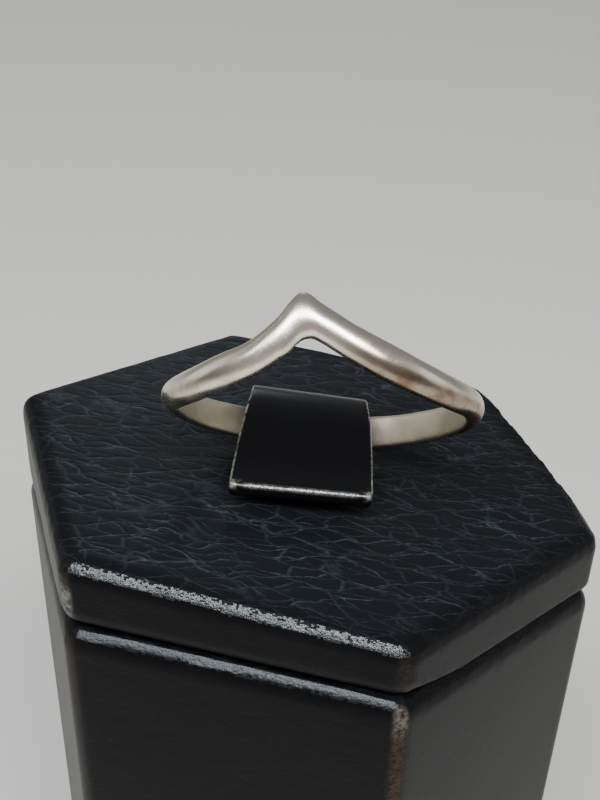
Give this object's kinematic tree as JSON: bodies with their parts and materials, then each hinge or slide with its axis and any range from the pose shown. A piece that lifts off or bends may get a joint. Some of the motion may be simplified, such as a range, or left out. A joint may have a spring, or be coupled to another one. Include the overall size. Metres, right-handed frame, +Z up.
{
  "type": "wishbone ring on a hexagonal display stand",
  "caption": "Plain metal finger ring with a V-shaped peak, held by a black strip clip on the slanted top of a hexagonal leatherette display stand.",
  "frame": {"origin": "middle of the stand's foot, on the surface it stands on", "axes": "+Z up along the stand's axis, -Y out of the stand's front face, towards which the clip's tongue and the ring's peak also point, +X to the right as seen from the front"},
  "size_m": [0.0404, 0.0354, 0.0775],
  "materials": {
    "silver": "worn satin polish",
    "leatherette": "fine pebble grain, slight sheen"
  },
  "bodies": {
    "root": {"ring_band": "silver", "ring_clip": "leatherette", "stand_cap": "leatherette", "stand_pillar": "leatherette"}
  },
  "joints": []
}
